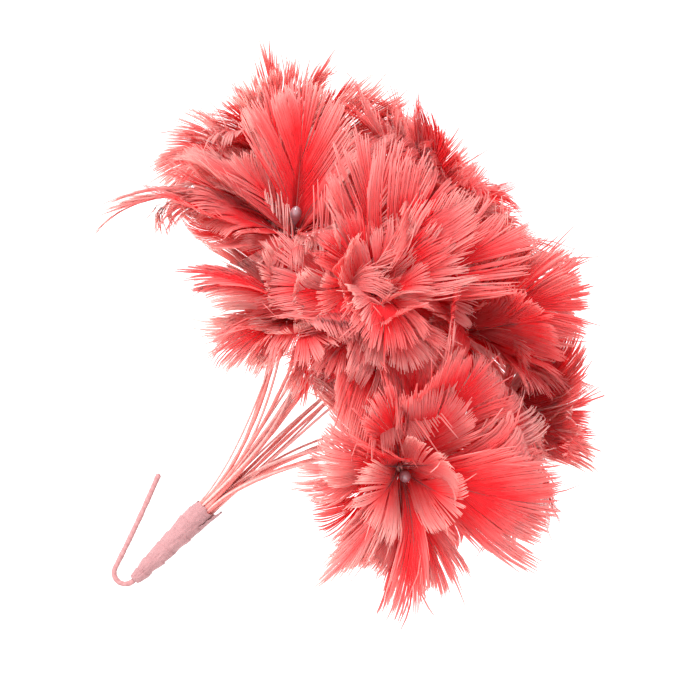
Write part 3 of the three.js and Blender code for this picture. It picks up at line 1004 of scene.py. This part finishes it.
def stem_path(number):
    """The bend of one flower's wire, from the tape's mouth to the flower's neck."""
    axis = np.array(Vector(FLOWERS[number - 1]["facing"]).normalized())
    neck = np.array(FLOWERS[number - 1]["heart"]) - axis * SPREAD
    slot = math.radians(30 + 40 * (number - 1))
    start = np.array([BUNDLE_RADIUS * math.cos(slot), BUNDLE_RADIUS * math.sin(slot), STEM_START])
    end = neck - axis * NECK_SINK
    far = np.linalg.norm(end - start)
    t = np.linspace(0, 1, 60)[:, None]
    rise, lead = start + np.array([0, 0, 0.33 * far]), end - axis * 0.26 * far
    curve = (1 - t) ** 3 * start + 3 * t * (1 - t) ** 2 * rise
    curve += 3 * t ** 2 * (1 - t) * lead + t ** 3 * end
    return np.concatenate([curve, neck[None]])


print("first wire's end:", stem_path(1)[-1].round(1))

# %% The nine wires
THICK_WIRE, THIN_WIRE = 0.95, 0.66
for number in range(1, len(FLOWERS) + 1):
    rng = np.random.default_rng(400 + number)
    path = stem_path(number)
    down = np.array([path[0] - (0, 0, 9), path[0] - (0, 0, 4.5)])
    path = np.concatenate([down, path])
    lumps = rng.uniform(0, 6.28, 4)
    thick = THICK_WIRE if number in (1, 7, 8) else THIN_WIRE

    def girth(u, angle):
        swell = 0.05 * np.sin(u * 31 + lumps[0]) + 0.04 * np.sin(u * 73 + lumps[1])
        return thick + swell + 0.03 * np.cos(angle * 3 + u * 300)

    rows = [lay_bar(wire_bar, path, girth) + (0,)]
    piece = make_piece(f"wire_{number}", rows, [thread_finish])
    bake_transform(piece)
    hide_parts(f"flower_{number}_stem")
    # Loose strands that run beside the wire, each with its own slack.
    rows = []
    for k in range(2 if number in (1, 2, 3, 5, 7, 8) else 1):
        slack = rng.uniform(1.2, 3.4)
        turn_at, twist = rng.uniform(0, 6.28), rng.uniform(-3.0, 3.0)
        t = np.linspace(0, 1, len(path))[:, None]
        off = np.concatenate([np.cos(turn_at + twist * t), np.sin(turn_at + twist * t), 0 * t], 1)
        side = path + off * (0.85 + slack * np.sin(np.pi * t) ** 1.3)
        size = rng.uniform(0.18, 0.5)
        rows.append(lay_bar(strand_bar, side, lambda u, angle: size + 0 * u) + (0,))
    piece = make_piece(f"strands_{number}", rows, [strand_finish])
    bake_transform(piece)
print("wires and strands:", 2 * len(FLOWERS))

# %% [markdown]
# ### Necks and stamens
# Thread is wound round the quills where they meet the wire, so the neck is a small ridged cone.
# The stamen is a drop-shaped pearl dipped on the end of a stiff dark stalk.

# %% Necks and stamens
NECK_FOOT, NECK_TOP = 0.3, 8.3
DROP_FOOT = 8.45 + 5.5
DROP_TALL = 7.1
STALK_FOOT, STALK_RADIUS = 4.3, 0.36


def neck_girth(u, angle):
    """A cone that swells over the quills, with 18 turns of thread."""
    body = np.interp(u, [0, 0.02, 0.1, 0.5, 0.9, 0.98, 1], [0.55, 0.9, 1.2, 2.0, 2.35, 2.2, 1.7])
    ridge = np.abs(np.sin(np.pi * u * 18 + angle / 2))
    return body + 0.14 * ridge * np.clip((1 - u) * 20, 0, 1)


def drop_girth(u, angle):
    share = np.clip((u - 0.02) / 0.98, 0, 1)
    swell = 1.65 * np.sin(np.pi * share ** 1.35) ** 0.8
    return 0.42 + swell - 0.40 * np.clip((u - 0.9) / 0.1, 0, 1)


for number, flower in enumerate(FLOWERS, 1):
    neck = lay_bar(neck_bar, [(0, 0, NECK_FOOT), (0, 0, NECK_TOP)], neck_girth)
    piece = make_piece(f"neck_{number}", [placed(neck, flower, 0)], [thread_finish])
    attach(piece, f"head_{number}")
    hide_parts(f"flower_{number}_neck_wrap")

    drop_path = [(0, 0, DROP_FOOT - 0.4), (0, 0, DROP_FOOT + DROP_TALL)]
    drop = lay_bar(neck_bar, drop_path, drop_girth)
    stalk = lay_bar(strand_bar, [(0, 0, STALK_FOOT), (0, 0, DROP_FOOT)],
                    lambda u, angle: STALK_RADIUS + 0 * u)
    rows = [placed(drop, flower, 0), placed(stalk, flower, 1)]
    piece = make_piece(f"stamen_{number}", rows, [pearl_finish, stalk_finish])
    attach(piece, f"head_{number}")
    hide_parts(f"flower_{number}_stamen")
print("necks and stamens:", 2 * len(FLOWERS))

# %% [markdown]
# ## The bound stem and its hook
# The tape is wound upwards in overlapping turns, so its edge stands out as a slanting step. It
# swells over the lashing and ends in an open mouth, with one loose corner of paper beside it.

# %% Tape
TAPE_TALL = 37.0
RIM_SHARE = 0.88  # the share of the bar that makes the outside; the rest turns in at the mouth
TURN_PITCH, TURN_STEP = 6.3, 0.42
TAPE_HEIGHTS = [0, 1, 5.8, 12, 24.5, 30, 34, 36.3, 37]
TAPE_RADII = [1.7, 2.05, 2.6, 3.3, 4.35, 4.45, 4.25, 3.9, 3.75]


def tape_profile(u):
    """Height and girth: up the outside, over the rim and down inside the mouth."""
    down = TAPE_TALL - (u - RIM_SHARE) / 0.12 * 5.0
    height = np.where(u < RIM_SHARE, u / RIM_SHARE * TAPE_TALL, down)
    body = np.interp(height, TAPE_HEIGHTS, TAPE_RADII)
    inner = np.interp(u, [RIM_SHARE, 0.9, 1.0], [0.0, -0.55, -0.7])
    return height, body + np.where(u >= RIM_SHARE, inner, 0)


def make_tape():
    """The wound tape: a slanting step at each turn, crepe wrinkles, dents and a ragged rim."""
    u, angle, edge, tris = tape_bar
    height, girth = tape_profile(u)
    wander = 0.12 * np.sin(height * 0.5 + angle)
    phase = (height / TURN_PITCH - angle / (2 * np.pi) + wander) % 1.0
    step = TURN_STEP * np.clip(phase / 0.92, 0, 1)
    step -= TURN_STEP * np.clip((phase - 0.92) / 0.08, 0, 1)
    rng = np.random.default_rng(77)
    wrinkle = 0 * angle
    for _ in range(14):
        n, slope, start = rng.integers(5, 27), rng.uniform(-1.4, 1.4), rng.uniform(0, 6.28)
        wrinkle += 0.032 * np.sin(n * angle + slope * height + start)
    dent = 0.16 * np.sin(2 * angle + height * 0.21) + 0.10 * np.sin(height * 0.6 + angle)
    girth = girth + np.where(u < RIM_SHARE, step + wrinkle + dent - 0.15, wrinkle + dent)
    tear = 0.35 * np.sin(3 * angle + 1) + 0.3 * np.sin(7 * angle)
    ragged = np.where((u > 0.84) & (u < 0.93), tear, 0)
    reach = girth * edge
    points = np.stack([reach * np.cos(angle), reach * np.sin(angle), height + ragged], -1)
    uv = np.stack([angle / (2 * np.pi) + 0.5, height], -1)
    return points, tris, uv, 0 * u + 0.5


def flap_rows():
    """The torn end of the tape, which stands off the mouth's right side."""
    u, angle, edge, tris = bar_pattern(24, 30)
    across, deep = edge * np.cos(angle), edge * np.sin(angle)
    width = 2.1 * (1 - 0.55 * u) + 0.25 * np.sin(u * 19)
    round_by = 0.35 + across * width / 4.6
    out = 4.55 + 0.9 * u ** 1.6 + 0.14 * deep + 0.10 * np.sin(across * 6 + u * 7)
    tall = 30.5 + 9.5 * u + 0.5 * np.sin(across * 4) * u
    points = np.stack([out * np.cos(round_by), -out * np.sin(round_by), tall], -1)
    return points, tris[:, ::-1], np.stack([angle / 6.28, tall], -1), 0 * u + 0.5


piece = make_piece("tape_turns", [make_tape() + (0,), flap_rows() + (0,)], [tape_finish])
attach(piece, "binding")
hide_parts("stem_tape")
print("tape:", len(piece.data.polygons), "faces")

# %% [markdown]
# ### Hook
# The hook is a paper-covered wire that leaves the tape's tip, turns back in a small crook and runs
# up beside the bound stem. The paper strip is wound at a slant and its overlaps show as rings.

# %% Hook
CROOK = 4.1
ARM_LONG = 38
SPLAY = math.radians(20)
crook_turn = np.linspace(0, math.radians(160), 24)
bend = [(CROOK * (math.cos(a) - 1), 0, -0.4 - CROOK * math.sin(a)) for a in crook_turn]
end_x, _, end_z = bend[-1]
arm = [(end_x - s * math.sin(SPLAY) + 0.35 * math.sin(s / ARM_LONG * 3.1), 0.25 * math.sin(s / 9),
        end_z + s * math.cos(SPLAY)) for s in np.linspace(1, ARM_LONG, 24)]


def hook_girth(u, angle):
    turns = (u * 30 + angle / (2 * np.pi)) % 1.0
    worn = 0.04 * np.sin(u * 41) + 0.03 * np.sin(2 * angle + u * 60)
    past = np.clip((u - 0.985) / 0.015, 0, 1)
    round_end = np.sqrt(np.clip(1 - past ** 2, 0.08, 1))
    return (0.92 + 0.12 * turns + worn) * round_end


hook_rows = lay_bar(hook_bar, [(0, 0, 0.6)] + bend + arm, hook_girth)
piece = make_piece("hook_turns", [hook_rows + (0,)], [paper_finish])
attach(piece, "hook")
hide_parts("hook_wire")
for name in ("binding_thread", "wire_tails"):
    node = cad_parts[name]
    node.data.materials.clear()
    node.data.materials.append(stalk_finish if name == "wire_tails" else thread_finish)
print("hook:", len(piece.data.polygons), "faces")
